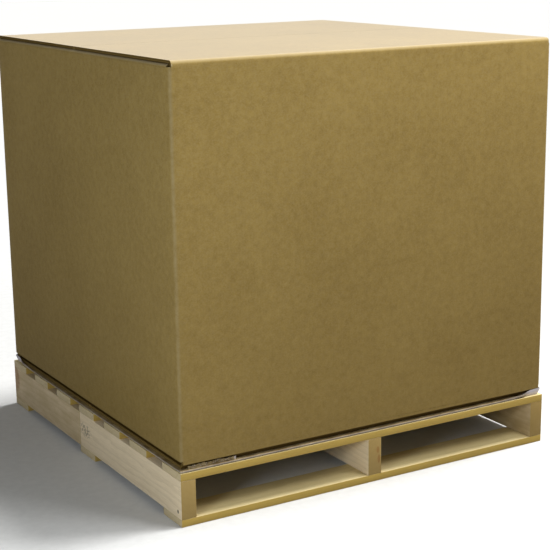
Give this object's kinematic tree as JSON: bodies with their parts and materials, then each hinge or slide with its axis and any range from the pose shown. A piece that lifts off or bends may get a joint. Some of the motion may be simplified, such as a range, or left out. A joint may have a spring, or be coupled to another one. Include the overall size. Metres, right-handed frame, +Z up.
{
  "type": "bulk pallet box",
  "caption": "Double-wall corrugated pallet box with hinged outer top flaps, standing on a thin pad on a nailed two-way timber pallet with fork pockets.",
  "frame": {"origin": "on the floor under the middle of the pallet", "axes": "+Z up, -Y towards the front with the two fork openings, X across the front"},
  "size_m": [1.165, 1.165, 1.158],
  "materials": {
    "kraft_board": "matte",
    "pad_paper": "matte",
    "deck_timber": "matte",
    "bearer_timber": "matte",
    "nail_steel": "satin"
  },
  "bodies": {
    "base": {"carton_body": "kraft_board", "base_pad": "pad_paper", "deck_board_1": "deck_timber", "deck_board_2": "deck_timber", "deck_board_3": "deck_timber", "deck_board_4": "deck_timber", "deck_board_5": "deck_timber", "deck_board_6": "deck_timber", "deck_board_7": "deck_timber", "bearer_left_front": "bearer_timber", "bearer_left_back": "bearer_timber", "bearer_middle": "bearer_timber", "bearer_right": "bearer_timber", "bottom_board_front": "deck_timber", "bottom_board_middle": "deck_timber", "bottom_board_back": "deck_timber", "deck_nail_1_left_a": "nail_steel", "deck_nail_1_left_b": "nail_steel", "deck_nail_1_middle_a": "nail_steel", "deck_nail_1_middle_b": "nail_steel", "deck_nail_1_right_a": "nail_steel", "deck_nail_1_right_b": "nail_steel", "deck_nail_2_left_a": "nail_steel", "deck_nail_2_left_b": "nail_steel", "deck_nail_2_middle_a": "nail_steel", "deck_nail_2_middle_b": "nail_steel", "deck_nail_2_right_a": "nail_steel", "deck_nail_2_right_b": "nail_steel", "deck_nail_3_left_a": "nail_steel", "deck_nail_3_left_b": "nail_steel", "deck_nail_3_middle_a": "nail_steel", "deck_nail_3_middle_b": "nail_steel", "deck_nail_3_right_a": "nail_steel", "deck_nail_3_right_b": "nail_steel", "deck_nail_4_left_a": "nail_steel", "deck_nail_4_left_b": "nail_steel", "deck_nail_4_middle_a": "nail_steel", "deck_nail_4_middle_b": "nail_steel", "deck_nail_4_right_a": "nail_steel", "deck_nail_4_right_b": "nail_steel", "deck_nail_5_left_a": "nail_steel", "deck_nail_5_left_b": "nail_steel", "deck_nail_5_middle_a": "nail_steel", "deck_nail_5_middle_b": "nail_steel", "deck_nail_5_right_a": "nail_steel", "deck_nail_5_right_b": "nail_steel", "deck_nail_6_left_a": "nail_steel", "deck_nail_6_left_b": "nail_steel", "deck_nail_6_middle_a": "nail_steel", "deck_nail_6_middle_b": "nail_steel", "deck_nail_6_right_a": "nail_steel", "deck_nail_6_right_b": "nail_steel", "deck_nail_7_left_a": "nail_steel", "deck_nail_7_left_b": "nail_steel", "deck_nail_7_middle_a": "nail_steel", "deck_nail_7_middle_b": "nail_steel", "deck_nail_7_right_a": "nail_steel", "deck_nail_7_right_b": "nail_steel"},
    "front_flap": {"front_flap": "kraft_board"},
    "back_flap": {"back_flap": "kraft_board"}
  },
  "joints": [
    {"name": "front_flap_fold", "type": "hinge", "parent": "base", "child": "front_flap", "pos_m": [0, -0.5825, 1.147], "axis": [1, 0, 0], "range_deg": [0, 240]},
    {"name": "back_flap_fold", "type": "hinge", "parent": "base", "child": "back_flap", "pos_m": [0, 0.5825, 1.147], "axis": [-1, 0, 0], "range_deg": [0, 240]}
  ]
}
